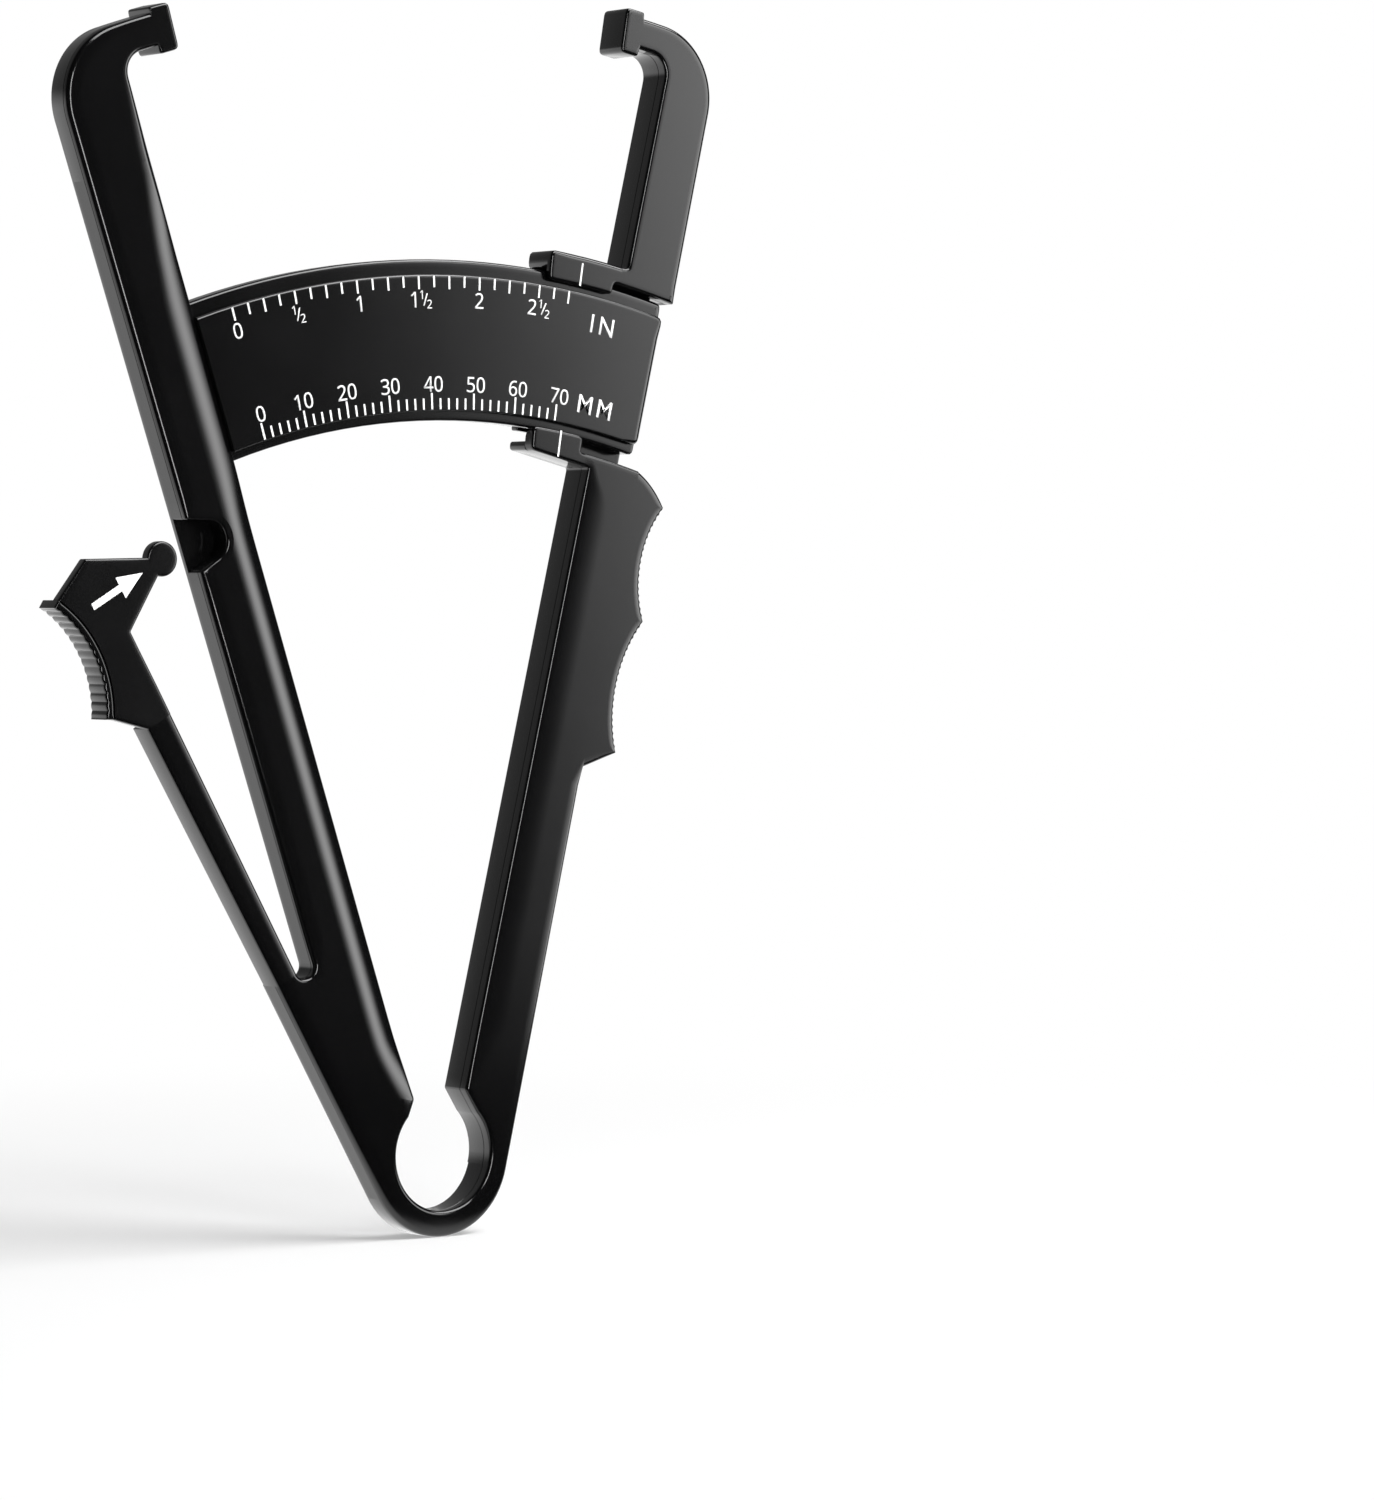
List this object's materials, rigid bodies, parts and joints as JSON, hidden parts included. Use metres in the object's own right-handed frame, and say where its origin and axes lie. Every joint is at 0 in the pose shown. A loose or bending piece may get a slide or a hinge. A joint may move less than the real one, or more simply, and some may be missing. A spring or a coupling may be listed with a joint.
{
  "type": "skinfold caliper",
  "caption": "Sprung two-arm plastic caliper with hooked jaws, a curved sliding scale, finger grips and a thumb trigger with a ball tip.",
  "frame": {"origin": "centre of the ring hole, in the flat front plane that all the pieces share", "axes": "+Z from the ring up towards the jaws, +X to the right as the scale is read, +Y from the front face to the back"},
  "size_m": [0.1039, 0.0052, 0.163],
  "materials": {
    "black_plastic": "semi-gloss moulded black plastic",
    "white_print": "flat white pad print"
  },
  "bodies": {
    "left_half": {"left_arm": "black_plastic", "left_jaw": "black_plastic", "left_contact_pad": "black_plastic", "scale_plate": "black_plastic", "mm_graduations": "white_print", "inch_graduations": "white_print", "ring_flexure": "black_plastic", "trigger_flexure": "black_plastic"},
    "right_half": {"right_lower_arm": "black_plastic", "finger_grip": "black_plastic", "lower_index_tab": "black_plastic", "slide_bridge": "black_plastic", "upper_index_tab": "black_plastic", "right_upper_arm": "black_plastic", "right_jaw": "black_plastic", "right_contact_pad": "black_plastic", "lower_index_mark": "white_print", "upper_index_mark": "white_print"},
    "trigger": {"trigger_lever": "black_plastic", "trigger_head": "black_plastic", "thumb_pad": "black_plastic", "detent_ball": "black_plastic", "arrow_mark": "white_print"}
  },
  "joints": [
    {"name": "arm_squeeze", "type": "hinge", "parent": "left_half", "child": "right_half", "pos_m": [0.00245, 0, -0.00879], "axis": [0, -1, 0], "range_deg": [0, 25.6], "stiffness_Nm_per_rad": 0.6, "deforming": ["ring_flexure"]},
    {"name": "trigger_press", "type": "hinge", "parent": "left_half", "child": "trigger", "pos_m": [-0.02681, 0, 0.02778], "axis": [0, 1, 0], "range_deg": [0, 7], "stiffness_Nm_per_rad": 0.5, "deforming": ["trigger_flexure"]}
  ]
}
